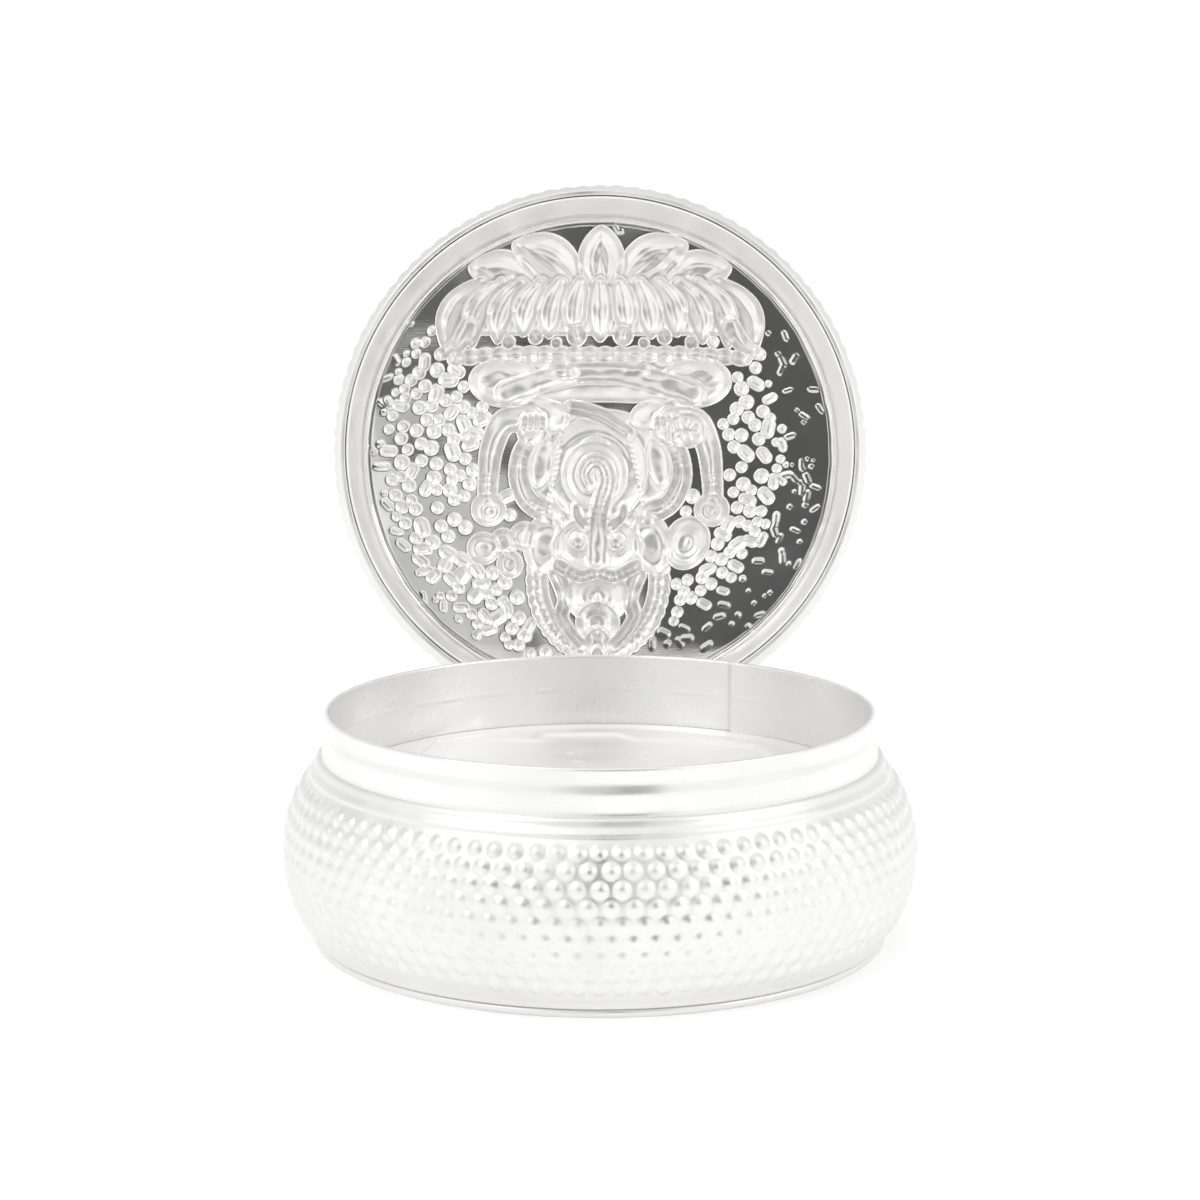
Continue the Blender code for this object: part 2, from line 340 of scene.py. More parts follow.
def make_collar():
    """The upright strip, bent into a ring and lapped at a soldered seam."""
    angles = round_angles(720)
    inner, rim = COLLAR_RADIUS - COLLAR_SHEET, RIM_HEIGHT
    side = COLLAR_FOOT + 0.1 + np.linspace(0, 1, 44) * (rim - 0.14 - COLLAR_FOOT - 0.1)
    outline = [(COLLAR_RADIUS, z) for z in side]
    outline += [(COLLAR_RADIUS - 0.03, rim - 0.05), (COLLAR_RADIUS - 0.09, rim)]
    outline += [(inner + 0.09, rim), (inner + 0.03, rim - 0.05)]
    outline += [(inner, z) for z in side[::-1]]
    radius, height = spun(outline, len(angles))
    outer = np.array([1.0] * 45 + [0.7, 0.3, 0.0] + [0.0] * 44)[:, None]

    to_seam = TAU - (angles - SEAM_ANGLE) % TAU
    lap = LAP_HEIGHT * np.clip(1 - to_seam / LAP_LENGTH, 0, 1) ** 1.5
    radius = radius - lap * (1 - outer)
    scratch = np.exp(-(((height - SEAT_HEIGHT - 0.45 - 0.05 * waves(angles, 5)) / 0.08) ** 2))
    radius = radius + 0.035 * scratch * (1 - outer) * smooth(waves(angles, 8), -0.4, 0.1)
    bend = smooth(height, SEAT_HEIGHT + 2.05, SEAT_HEIGHT + 1.25)
    foot = smooth(height, SEAT_HEIGHT + 0.4, SEAT_HEIGHT)
    radius = radius + (0.16 * bend + 0.06 * foot**2) * outer
    wobble = waves(angles, 21, highest=7) * 0.035 + waves(angles, 22, highest=19) * 0.008
    radius = radius + wobble * smooth(height, SEAT_HEIGHT, RIM_HEIGHT)
    points = turned_points(radius, height, angles)
    add_turned("collar_strip", points, "base", "satin_silver", ["collar"], finish="rolled_silver")


# Discs made on a square grid


def disc_grid(count, radius):
    """The x and y of a square grid of points bent to fill a disc."""
    line = np.linspace(-1, 1, count)
    s, t = np.meshgrid(line, line, indexing="ij")
    return radius * s * np.sqrt(1 - t * t / 2), radius * t * np.sqrt(1 - s * s / 2)


def make_tray_floor():
    """The tray's floor, soldered all round to the collar's inner face."""
    count = 240
    x, y = disc_grid(count, FLOOR_RADIUS + SOLDER_REACH)
    rise = tray_relief(x, y)
    top = np.stack([x, y, FLOOR_TOP + rise], -1).reshape(-1, 3)
    under = np.stack([x, y, np.full_like(x, FLOOR_TOP - FLOOR_SHEET)], -1).reshape(-1, 3)
    add_two_sided_disc("tray_bottom", top, under, count, "base", "satin_silver", ["tray_floor"])


def add_two_sided_disc(name, front, back, count, body, slot, nodes, shut=False):
    """A closed sheet from two grids of the same size, sewn round their edges."""
    size = count * count
    grid = np.arange(size).reshape(count, count)
    front_quads = grid_quads(count, count, wrap_columns=False)
    back_quads = front_quads[:, ::-1] + size
    edge = np.concatenate([grid[0, :-1], grid[:-1, -1], grid[-1, :0:-1], grid[:0:-1, 0]])
    following = np.roll(edge, -1)
    rim = np.stack([edge, following, following + size, edge + size], -1)
    points = np.concatenate([front, back])
    quads = np.concatenate([front_quads[:, ::-1], back_quads[:, ::-1], rim[:, ::-1]])
    return add_piece(name, points, quads, body, slot, nodes, shut)


def segment_distance(x, y, start, end):
    """Distance to a straight segment, and how far along it, 0 to 1."""
    dx, dy = end[0] - start[0], end[1] - start[1]
    length = dx * dx + dy * dy
    along = np.clip(((x - start[0]) * dx + (y - start[1]) * dy) / max(length, 1e-9), 0, 1)
    return np.hypot(x - start[0] - along * dx, y - start[1] - along * dy), along


def tray_relief(x, y):
    """How far the tray's floor rises: a low stamped outline, small bumps, and solder round the edge."""
    outline = [(-11.2, 12.2), (-8.0, 12.9), (-4.4, 12.7), (-4.2, 14.6), (1.4, 14.8), (2.6, 13.0)]
    outline += [(7.6, 12.6), (11.0, 10.6), (12.6, 6.0), (11.0, -8.0), (5.0, -13.2)]
    outline += [(-5.0, -13.2), (-11.0, -8.0), (-12.8, 5.0)]
    rise = np.zeros_like(x)
    for start, end in zip(outline, outline[1:] + outline[:1]):
        distance, _ = segment_distance(x, y, start, end)
        rise = np.maximum(rise, 0.24 * np.clip(1 - (distance / 0.45) ** 2, 0, 1))
    random = np.random.default_rng(31)
    for _ in range(26):
        place = random.uniform(-9.5, 9.5, 2)
        size = random.uniform(0.35, 0.75)
        bump = 1 - ((x - place[0]) ** 2 + (y - place[1]) ** 2) / size**2
        rise = np.maximum(rise, 0.09 * np.clip(bump, 0, 1))
    edge = smooth(np.hypot(x, y), FLOOR_RADIUS - 0.9, FLOOR_RADIUS - 0.1)
    return rise + 0.22 * edge**2


# The lid


def lid_outside(angles):
    """The beaded outside of the lid's wall, from its rim up: radius and height in rows and columns."""
    centre, middle = LID_RADIUS - LID_ARC, LID_RIM + LID_BULGE_DEPTH
    start = math.asin(-LID_BULGE_DEPTH / LID_ARC)
    end = math.acos((PANEL_RADIUS + JOIN_GAP - centre) / LID_ARC)
    phi, _, _ = arc_rows(centre, middle, LID_ARC, start, end, 0.09)
    phi, angle = np.meshgrid(phi, angles, indexing="ij")
    beads = bead_field(angle, phi, LID_RADIUS, LID_ARC, LID_FIRST_ROW, LID_ROW_STEP, LID_ROWS, seed=12)
    radius, height = centre + LID_ARC * np.cos(phi), middle + LID_ARC * np.sin(phi)
    x, y = np.sin(angle), -np.cos(angle)
    near_leaf = smooth(LEAF_HIGH.x + 0.8 - np.abs(x * radius), 0, 0.4) * smooth(y, 0, 0.2)
    from_rim = (phi - start) * LID_ARC
    push = LID_BEAD_HEIGHT * beads * (1 - near_leaf) * smooth(from_rim, 0.7, 0.95)
    groove = 0.04 * np.exp(-(((from_rim - 0.85) / 0.12) ** 2))
    push = push - groove + 0.02 * waves(angle, 14) * smooth(from_rim, 0, 1)
    fuller = smooth(from_rim, 0.2, 1.6) * smooth(phi.max() - phi, 0.0, 0.6) * smooth(y, 0.95, 0.8)
    push = push + LID_FULLNESS * fuller
    return radius + push * np.cos(phi), height + push * np.sin(phi)


def make_lid_wall():
    angles = round_angles(BEADS_ROUND * POINTS_A_BEAD)
    radius, height = lid_outside(angles)
    centre, middle = LID_RADIUS - LID_ARC, LID_RIM + LID_BULGE_DEPTH
    arc = LID_ARC - LID_SHEET
    top = math.acos((PANEL_RADIUS + JOIN_GAP - centre) / arc)
    bottom = math.asin(-LID_BULGE_DEPTH / arc)
    _, inside_radius, inside_height = arc_rows(centre, middle, arc, top, bottom, 0.4)
    rim_in, rim_out = inside_radius[-1], radius[0].mean()
    inside_height[-1] += 0.06
    lip = [(rim_in + 0.05, LID_RIM + 0.01), (rim_in + 0.11, LID_RIM), (rim_out - 0.09, LID_RIM)]
    more_radius, more_height = spun(list(zip(inside_radius, inside_height)) + lip, len(angles))
    radius = np.vstack([radius, more_radius])
    height = np.vstack([height, more_height])
    points = turned_points(radius, height, angles)
    add_turned("beaded_lid_wall", points, "lid", "polished_silver", ["lid_shell"], shut=True)


def make_lid_liner():
    """The lining strip, a little narrower towards the panel, where its cut edge wanders."""
    angles = round_angles(480)
    near = LINER_RADIUS - LINER_SHEET
    far = near - LINER_TAPER
    side = np.linspace(0, 1, 30)
    rise = LID_RIM + 0.03 + side * (LINER_TOP - LID_RIM - 0.05)
    outline = [(near + LINER_SHEET - LINER_TAPER * t, z) for t, z in zip(side, rise)]
    outline += [(far + 0.11, LINER_TOP), (far + 0.04, LINER_TOP)]
    outline += [(near - LINER_TAPER * t, z) for t, z in zip(side[::-1], rise[::-1])]
    outline += [(near + 0.04, LID_RIM), (near + 0.11, LID_RIM)]
    radius, height = spun(outline, len(angles))
    depth = (height - LID_RIM) / (LINER_TOP - LID_RIM)
    radius = radius - depth**6 * (0.2 + 0.12 * waves(angles, 41, terms=12, highest=60))
    height = height + 0.12 * depth**4 * waves(angles, 42, terms=9, highest=40)
    radius = radius + 0.012 * waves(angles, 43, highest=9)
    radius = radius + 0.05 * blank_cartouche(np.sin(angles) * radius, height, angles)
    points = turned_points(radius, height, angles)
    add_turned("lid_lining", points, "lid", "satin_silver", ["lid_liner"], shut=True)


def blank_cartouche(x, height, angle):
    """1 in a small blank oblong punched in the lining at the lid's front, 0 elsewhere."""
    across = smooth(0.75 - np.abs(x), 0, 0.12)
    along = smooth(0.36 - np.abs(height - LID_RIM - 1.5), 0, 0.12)
    return across * along * (np.cos(angle) > 0)


# The stamped panel. u runs to the right and v upward as the open lid is seen from the front, in
# millimetres from the panel's middle. A rise is how far the sheet is pressed out, away from the inside.


def mirrored(side, route):
    """A route's points on one side, 1 for the right and -1 for the left."""
    return [(side * u, v) for u, v in route]


def oval(u, v, centre, radii, turn=0.0):
    """Distance inside an oval's edge, negative outside."""
    du, dv = u - centre[0], v - centre[1]
    c, s = math.cos(turn), math.sin(turn)
    return (1 - np.hypot((du * c + dv * s) / radii[0], (dv * c - du * s) / radii[1])) * min(radii)


def smooth_route(points, steps=6):
    """More points along a smooth curve through the given ones."""
    p = np.array([points[0]] + list(points) + [points[-1]], float)
    t = np.linspace(0, 1, steps, endpoint=False)[:, None]
    spans = []
    for a, b, c, d in zip(p, p[1:], p[2:], p[3:]):
        spans.append(
            0.5 * (2 * b + (c - a) * t + (2 * a - 5 * b + 4 * c - d) * t**2 + (3 * b - a - 3 * c + d) * t**3)
        )
    return np.vstack(spans + [p[-1:]])


def limb(u, v, route, start_radius, end_radius):
    """Distance inside a bent, tapering limb, and how far along it each point is, in millimetres."""
    points = smooth_route(route)
    inside = np.full(u.shape, -99.0)
    along = np.zeros(u.shape)
    travelled = 0.0
    for index, (start, end) in enumerate(zip(points, points[1:])):
        distance, share = segment_distance(u, v, start, end)
        length = math.dist(start, end)
        radius = start_radius + (end_radius - start_radius) * (index + share) / (len(points) - 1)
        nearer = radius - distance > inside
        inside = np.where(nearer, radius - distance, inside)
        along = np.where(nearer, travelled + share * length, along)
        travelled += length
    return inside, along


def petal(u, v, base, tip, width, bend):
    """Distance inside a leaf shape, and the place across it, -1 to 1."""
    du, dv = tip[0] - base[0], tip[1] - base[1]
    length = math.hypot(du, dv)
    along = ((u - base[0]) * du + (v - base[1]) * dv) / length**2
    t = np.clip(along, 0, 1)
    across = ((v - base[1]) * du - (u - base[0]) * dv) / length - bend * 4 * t * (1 - t)
    half = width * np.sin(math.pi * np.clip(0.12 + 0.88 * t, 0, 1) ** 1.1) ** 0.62
    beyond = np.maximum(np.maximum(-along, along - 1), 0) * length
    return half - np.hypot(across, beyond), across / np.maximum(half, 0.05)


def press(rise, inside, height, reach, chase=0.25):
    """Adds a rounded shape that is highest at reach inside its edge, and a soft line round it."""
    line = 1 - chase * np.exp(-((inside / 0.16) ** 2)) * (inside < 0)
    lift = np.clip(inside / reach, 0, 1)
    top = rise + (height - rise) * np.sqrt(lift * (2 - lift))
    return np.where(inside > 0, top, rise * line)


def hollow(rise, inside, depth, reach):
    """Presses a rounded hollow back into the shape."""
    lift = np.clip(inside / reach, 0, 1)
    return rise - depth * lift * lift * (3 - 2 * lift)


def trace(rise, distance, lift=0.03, width=0.11):
    """Raises a fine line where the distance is near nothing, or cuts one where lift is negative."""
    return rise + lift * np.exp(-((distance / width) ** 2)) * np.clip(rise / 0.3, 0, 1)


def contours(rise, inside, pitch=0.42, depth=0.016, start=0.15):
    """Faint lines that run inside a shape's edge and follow it."""
    return rise + depth * np.cos(TAU * inside / pitch) * smooth(inside, start, start + 0.15)


def big_petal(rise, u, v, base, tip, width, bend):
    inside, across = petal(u, v, base, tip, width, bend)
    rise = press(rise, inside, 0.85, width)
    rise = contours(rise, inside, pitch=0.38, depth=0.014)
    from_base = np.hypot(u - base[0], v - base[1])
    slit = np.exp(-((across * width / 0.17) ** 2)) * smooth(from_base, 2.9, 1.2)
    return rise - 0.2 * slit * smooth(inside, 0.1, 0.5)


def hanging_petal(index):
    """Where a petal of the lotus's skirt starts and ends, and how far it bows outward."""
    short = 0.3 * (index % 2) if abs(index) < 5 else 0.0
    tip_v = 8.5 if index == 0 else 8.9 + short - 0.035 * index * index
    return (1.48 * index, 12.9), (1.93 * index, tip_v), 0.17 * index


def lotus(rise, u, v):
    for side in (-1, 1):
        rise = big_petal(rise, u, v, (side * 4.9, 12.9), (side * 9.8, 14.1), 1.5, side * 0.25)
        rise = big_petal(rise, u, v, (side * 1.7, 12.8), (side * 6.5, 15.9), 1.75, side * 0.4)
    rise = big_petal(rise, u, v, (0.1, 12.2), (0.1, 17.1), 1.7, 0.0)
    band = np.minimum(9.6 + 0.35 * (12.4 - v) - np.abs(u), 1.9 - np.abs(v - 10.9))
    rise = press(rise, band, 0.4, 1.2, chase=0)
    for index in sorted(range(-6, 7), key=lambda i: -abs(i)):
        base, tip, bend = hanging_petal(index)
        inside, across = petal(u, v, base, tip, 0.95, bend)
        rise = press(rise, inside, 0.95 - 0.02 * abs(index), 0.9, chase=0.35)
        ribs = 0.022 * np.cos(1.5 * TAU * across)
        rise = rise + ribs * smooth(inside, 0.1, 0.35)
    for side in (-1, 1):
        rise = press(rise, oval(u, v, (side * 1.75, 8.95), (0.66, 0.72)), 1.0, 0.66)
        for place, size in (((4.85, 8.85), 0.45), ((3.3, 8.3), 0.3), ((6.9, 8.35), 0.4)):
            rise = press(rise, oval(u, v, (side * place[0], place[1]), (size, size * 1.15)), 0.8, size)
        flick, _ = limb(u, v, mirrored(side, [(9.9, 9.4), (10.9, 8.1), (12.0, 7.5)]), 0.75, 0.35)
        rise = press(rise, flick, 0.8, 0.6)
    inside, along = limb(u, v, [(-10.9, 7.2), (-6, 7.5), (0, 7.45), (6, 7.5), (10.9, 7.2)], 0.42, 0.42)
    inside = inside + 0.16 * np.abs(np.cos(math.pi * along / 1.13)) - 0.08
    return press(rise, inside, 0.72, 0.5)


def folded_legs(rise, u, v):
    inside, _ = limb(u, v, [(-7.6, 5.5), (0, 5.75), (7.8, 5.5)], 1.75, 1.75)
    rise = press(rise, inside, 0.7, 1.75)
    for side in (-1, 1):
        lobe = oval(u, v, (side * 7.2, 5.35), (2.6, 1.75), side * 0.1)
        rise = press(rise, lobe, 1.0, 1.75)
        folds = np.sin(2.3 * (u * side - 6.5) + 1.2 * np.sin(1.7 * v)) * 0.3
        for level in (-0.75, 0.0, 0.7):
            near = (v - 5.4 - level - folds) / 1.2
            rise = np.where(lobe > 0.25, trace(rise, near, 0.035 * smooth(lobe, 0.25, 0.6), 0.12), rise)
        shin = [(side * 6.9, 4.5), (side * 4.6, 5.4), (side * 1.6, 6.1), (-side * 2.0, 6.25)]
        inside, _ = limb(u, v, shin, 0.85, 0.55)
        rise = press(rise, inside, 1.1, 0.8)
        rise = press(rise, oval(u, v, (-side * 2.9, 6.3), (0.9, 0.45), -side * 0.15), 1.15, 0.45)
    return rise


def body_and_belly(rise, u, v):
    rise = press(rise, oval(u, v, (-0.2, -0.9), (6.0, 4.2)), 0.45, 2.2)
    for side in (-1, 1):
        rise = press(rise, oval(u, v, (side * 4.6, 3.0), (2.3, 1.2), side * 0.15), 0.8, 1.2)
    rise = press(rise, oval(u, v, (-0.2, -1.2), (3.7, 4.0)), 0.8, 2.6)
    away = np.hypot((u + 0.4) * 1.08, v + 1.5)
    above = smooth(v, -0.6, 0.4)
    for radius in (2.55, 2.95, 3.35, 3.75):
        rise = trace(rise, away - radius, 0.06 * above, 0.13)
    belly = oval(u, v, (-0.4, -1.5), (2.25, 2.4))
    rise = press(rise, belly, 1.25, 2.25)
    rise = contours(rise, belly, pitch=0.55, depth=0.02, start=0.2)
    sash, _ = limb(u, v, [(-2.2, 3.5), (-1.2, 3.3), (0.4, 2.7), (2.1, 1.6)], 0.5, 0.42)
    rise = press(rise, sash, 1.0, 0.48)
    rise = trace(rise, sash - 0.26, -0.05, 0.09)
    navel, _ = limb(u, v, [(-1.2, 0.85), (-0.4, 1.2), (0.5, 0.8)], 0.16, 0.16)
    return hollow(rise, navel, 0.25, 0.16)


def bead_string(rise, u, v, route, size=0.17, pitch=0.42):
    inside, along = limb(u, v, route, size, size)
    off = (along / pitch - np.round(along / pitch)) * pitch
    round_bead = 1 - ((size - inside) ** 2 + off**2) / size**2
    return rise + 0.14 * np.sqrt(np.clip(round_bead, 0, 1))


def arm(rise, u, v, route, start_radius, end_radius, height, hand, bands):
    inside, along = limb(u, v, route, start_radius, end_radius)
    rise = press(rise, inside, height, start_radius)
    rise = contours(rise, inside, pitch=0.5, depth=0.015, start=0.2)
    for place in bands:
        for offset in (-0.22, 0.22):
            ring = np.exp(-(((along - place - offset) / 0.12) ** 2))
            rise = rise + 0.09 * ring * smooth(inside, 0.0, 0.25)
    centre, radii = hand
    return press(rise, oval(u, v, centre, radii), height + 0.1, min(radii))


def arms(rise, u, v):
    for side in (-1, 1):
        back = mirrored(side, [(5.4, 2.6), (7.2, 2.4), (8.1, 0.6), (8.4, -1.4), (8.5, -3.4)])
        hand = ((side * 8.4, -4.2), (1.2, 1.15))
        rise = arm(rise, u, v, back, 0.95, 0.6, 0.85, hand, (6.4, 7.6))
        rise = press(rise, oval(u, v, (side * 4.4, -0.7), (0.75, 1.8), side * 0.2), 0.6, 0.75)
        front = mirrored(side, [(3.7, -4.5), (5.3, -3.6), (6.1, -1.9), (5.95, -0.1), (5.3, 1.1)])
        hand = ((side * 5.1, 1.6), (1.05, 0.85))
        rise = arm(rise, u, v, front, 0.75, 0.55, 0.95, hand, (1.6, 5.2))
        for finger in range(4):
            tip = (side * (4.4 + 0.42 * finger), 2.35)
            rise = press(rise, oval(u, v, tip, (0.2, 0.5), side * 0.1), 1.12, 0.2)
        rise = press(rise, oval(u, v, (side * 8.3, -4.3), (0.4, 0.4)), 0.7, 0.4)
    flower = oval(u, v, (6.5, 1.8), (1.35, 1.25))
    rise = press(rise, flower, 1.05, 1.25)
    rise = rise + 0.05 * np.cos(6 * np.arctan2(v - 1.8, u - 6.5)) * smooth(flower, 0.1, 0.5)
    lobes = (((-7.3, -6.7), (0.95, 1.0)), ((-8.8, -7.1), (1.1, 1.1)), ((-5.7, -6.2), (1.0, 1.0)))
    for centre, radii in lobes + (((-6.8, -8.3), (0.85, 0.95)),):
        lobe = oval(u, v, centre, radii)
        rise = press(rise, lobe, 0.8, 0.55)
        rise = hollow(rise, lobe - 0.3, 0.12, 0.5)
    shell = oval(u, v, (6.5, -6.7), (1.6, 1.95), -0.4)
    rise = press(rise, shell, 0.95, 1.6)
    rise = contours(rise, shell, pitch=0.5, depth=0.03)
    return hollow(rise, oval(u, v, (6.6, -6.7), (0.4, 0.6), -0.4), 0.2, 0.4)


HALO_CENTRE = (-0.15, -9.5)


def halo(rise, u, v):
    du, dv = u - HALO_CENTRE[0], (v - HALO_CENTRE[1]) * 0.86
    away, turn = np.hypot(du, dv), np.arctan2(dv, du)
    inside = np.minimum(5.3 + 0.05 * np.cos(44 * turn) - away, away - 3.9)
    rise = press(rise, inside, 0.62, 0.7)
    rise = rise + 0.03 * np.cos(52 * turn) * smooth(inside, 0.15, 0.4)
    return trace(rise, inside - 0.2, -0.05, 0.09)


def crown(rise, u, v):
    for side in (-1, 1):
        scroll = [(3.0, -9.0), (2.4, -10.9), (2.7, -12.4), (1.2, -14.4)]
        scroll = [(u_place - 0.2, v_place) for u_place, v_place in mirrored(side, scroll)]
        inside, _ = limb(u, v, scroll, 0.6, 0.32)
        rise = press(rise, inside, 0.85, 0.55)
    tiers = ((-10.7, (2.3, 2.0), 0.95), (-12.7, (1.55, 1.5), 1.05), (-14.3, (0.9, 1.1), 1.1))
    for level, radii, height in tiers:
        tier = oval(u, v, (-0.2, level), radii)
        rise = press(rise, tier, height, min(radii))
        rise = contours(rise, tier, pitch=0.5, depth=0.02)
    rise = press(rise, oval(u, v, (-0.2, -15.5), (0.45, 0.8)), 1.1, 0.45)
    rise = hollow(rise, oval(u, v, (-0.2, -11.1), (0.28, 0.75)), 0.4, 0.28)
    return hollow(rise, oval(u, v, (-0.2, -13.6), (0.2, 0.5)), 0.3, 0.2)


def head(rise, u, v):
    rise = crown(rise, u, v)
    for side in (-1, 1):
        ear = oval(u, v, (side * 4.0 - 0.2, -6.8), (1.45, 2.15), side * 0.12)
        rise = press(rise, ear, 0.95, 0.9)
        rise = hollow(rise, ear - 0.35, 0.2, 0.6)
    rise = press(rise, oval(u, v, (-0.2, -6.95), (3.2, 2.2)), 1.2, 2.2)
    brow, along = limb(u, v, [(-3.1, -8.4), (-1.5, -9.2), (-0.2, -8.9), (1.1, -9.2), (2.7, -8.4)], 0.4, 0.4)
    rise = press(rise, brow, 1.2, 0.4)
    rise = rise + 0.03 * np.cos(TAU * along / 0.5) * smooth(brow, 0.05, 0.25)
    for side in (-1, 1):
        socket = oval(u, v, (side * 1.45 - 0.2, -6.7), (0.85, 1.15), side * 0.1)
        rise = hollow(rise, socket, 0.38, 0.6)
        rise = trace(rise, socket, 0.06, 0.13)
        rise = press(rise, oval(u, v, (side * 1.45 - 0.2, -6.75), (0.48, 0.36)), 1.12, 0.36)
        tusk, _ = limb(u, v, [(side * 1.0 - 0.1, -5.4), (side * 1.7, -4.7), (side * 1.8, -4.0)], 0.32, 0.14)
        rise = press(rise, tusk, 1.2, 0.3)
    trunk = [(-0.2, -8.0), (-0.15, -6.4), (-0.1, -4.8), (0.25, -3.3), (0.6, -1.9), (0.2, -0.7), (-0.7, -0.6)]
    inside, along = limb(u, v, trunk + [(-1.2, -1.5), (-0.9, -2.3)], 0.62, 0.36)
    rise = press(rise, inside, 1.5, 0.6)
    return rise + 0.02 * np.cos(TAU * along / 0.45) * smooth(inside, 0.05, 0.35) * smooth(along, 2.0, 3.0)


def figure(u, v):
    """A seated elephant-headed figure on a lotus, head down, of this script's own plain design."""
    rise = np.zeros_like(u)
    rise = halo(rise, u, v)
    rise = lotus(rise, u, v)
    rise = folded_legs(rise, u, v)
    rise = body_and_belly(rise, u, v)
    rise = arms(rise, u, v)
    rise = bead_string(rise, u, v, [(-2.6, 3.2), (-3.2, 0.0), (-3.9, -4.2)])
    rise = bead_string(rise, u, v, [(1.9, 2.4), (2.6, -0.4), (3.4, -4.0)])
    return head(rise, u, v)


def pebble_places():
    """The ground's pebbles, clear of the figure and fainter towards the edge, sooner on the right.

    Each is its middle, its radius, half of its length beyond round as (du, dv), and its height.
    """
    random = np.random.default_rng(7)
    places = []
    for row in range(-33, 34):
        for column in range(-29, 30):
            jitter = random.normal(0, 0.3, 2)
            size, keep = random.uniform(0.34, 0.54), random.uniform()
            link, turn = random.uniform(), random.uniform(0, TAU)
            u = (column + 0.5 * (row % 2)) * PEBBLE_PITCH + jitter[0]
            v = row * PEBBLE_PITCH * 0.87 + jitter[1]
            away = math.hypot(u, v)
            crowd = 1.0 - smooth(away, 12.3 if u > 0 else 15.0, 14.6 if u > 0 else 17.0)
            if away < 17.2 and keep < 0.17 + 0.83 * crowd:
                reach = 0.25 if link < 0.6 - 0.35 * crowd else 0.0
                size = size * (0.5 + 0.5 * crowd)
                height = PEBBLE_HEIGHT * (0.16 + 0.84 * crowd)
                places.append((u, v, size, reach * math.cos(turn), reach * math.sin(turn), height))
    places = np.array(places)
    clear = figure(places[:, 0], places[:, 1]) < 0.01
    for angle in round_angles(12):
        reach = places[:, 2] * 0.8 + 0.12
        near = figure(places[:, 0] + reach * np.cos(angle), places[:, 1] + reach * np.sin(angle))
        clear &= near < 0.01
    return spaced_out(places[clear])


def spaced_out(places):
    """The pebbles that are left when those that would mostly cover an earlier one are dropped."""
    kept = []
    for place in places:
        if all(math.dist(place[:2], other[:2]) > 0.9 * (place[2] + other[2]) for other in kept):
            kept.append(place)
    return kept


def pebbled_ground(u, v):
    rise = np.zeros_like(u)
    for pu, pv, size, du, dv, height in pebble_places():
        window = (np.abs(u - pu) < size + 0.9) & (np.abs(v - pv) < size + 0.9)
        start, end = (pu - du, pv - dv), (pu + du, pv + dv)
        distance, _ = segment_distance(u[window], v[window], start, end)
        bump = height * np.clip(1 - (distance / size) ** 2, 0, 1)
        rise[window] = np.maximum(rise[window], bump)
    return rise


def softened(grid, times):
    """The grid with each point drawn towards its neighbours."""
    for _ in range(times):
        padded = np.pad(grid, 1, mode="edge")
        grid = (padded[:-2, 1:-1] + padded[2:, 1:-1] + 2 * padded[1:-1, 1:-1]) / 4
        padded = np.pad(grid, 1, mode="edge")
        grid = (padded[1:-1, :-2] + padded[1:-1, 2:] + 2 * padded[1:-1, 1:-1]) / 4
    return grid


def panel_rise(u, v, drawn, pebbles):
    """The whole panel's relief, with the sheet's own unevenness and its plain border."""
    away, angle = np.hypot(u, v), np.arctan2(v, u)
    swell = 0.02 * (np.sin(0.9 * u + 1.3 * np.sin(0.5 * v)) + np.sin(1.1 * v + 0.8 * np.sin(0.7 * u + 1)))
    ripple = np.sin(2.9 * v + 1.6 * np.sin(1.1 * u)) * np.sin(2.1 * u + 1.3 * np.sin(1.7 * v))
    rise = np.maximum(drawn, pebbles) + swell + 0.04 * ripple * smooth(drawn, 0.2, 0.6)
    edge = GROUND_RADIUS + 0.05 * waves(angle, 51, terms=12, highest=70)
    border = smooth(away, edge - 0.12, edge + 0.3)
    rise = rise * (1 - border) - PANEL_LIFT * border
    return softened(rise + 0.1 * np.exp(-(((away - edge + 0.1) / 0.1) ** 2)), 2)


def make_panel():
    count = 520
    x, y = disc_grid(count, PANEL_RADIUS - 0.01)
    u, v = x, -y
    drawn = figure(u, v)
    pebbles = pebbled_ground(u, v) * (drawn < 0.02)
    height = PANEL_LOW + PANEL_LIFT + panel_rise(u, v, drawn, pebbles)
    front = np.stack([x, y, height], -1).reshape(-1, 3)
    back = np.stack([x, y, height + PANEL_SHEET], -1).reshape(-1, 3)
    panel = add_two_sided_disc(
        "stamped_panel", front, back, count, "lid", "stamped_silver", ["lid_panel"], shut=True
    )
    pressed = softened(np.maximum(smooth(drawn, 0.02, 0.3), 1.1 * smooth(pebbles, 0.02, 0.12)), 2)
    stretched = panel.data.attributes.new("pressed", "FLOAT", "POINT")
    stretched.data.foreach_set("value", np.tile(pressed.ravel(), 2).astype(np.float32))


# The hinge


def rounded_barrel(name, low, high, radius, bore, body, nodes, soft=0.12):
    """A tube or rod along X through the hinge's axis, with softened ends."""
    angles = round_angles(48)
    curve = [(soft * (1 - math.cos(a)), soft * (1 - math.sin(a))) for a in np.linspace(0, math.pi / 2, 6)]
    outline = [(low + x, radius - r) for x, r in curve]
    outline += [(high - x, radius - r) for x, r in curve[::-1]]
    outline += [(high, bore), (low, bore)]
    along, away = spun(outline, len(angles))
    y = PIVOT_Y + away * np.cos(angles)
    z = PIVOT_Z + away * np.sin(angles)
    add_turned(name, np.stack([along, y, z], -1), body, "polished_silver", nodes)


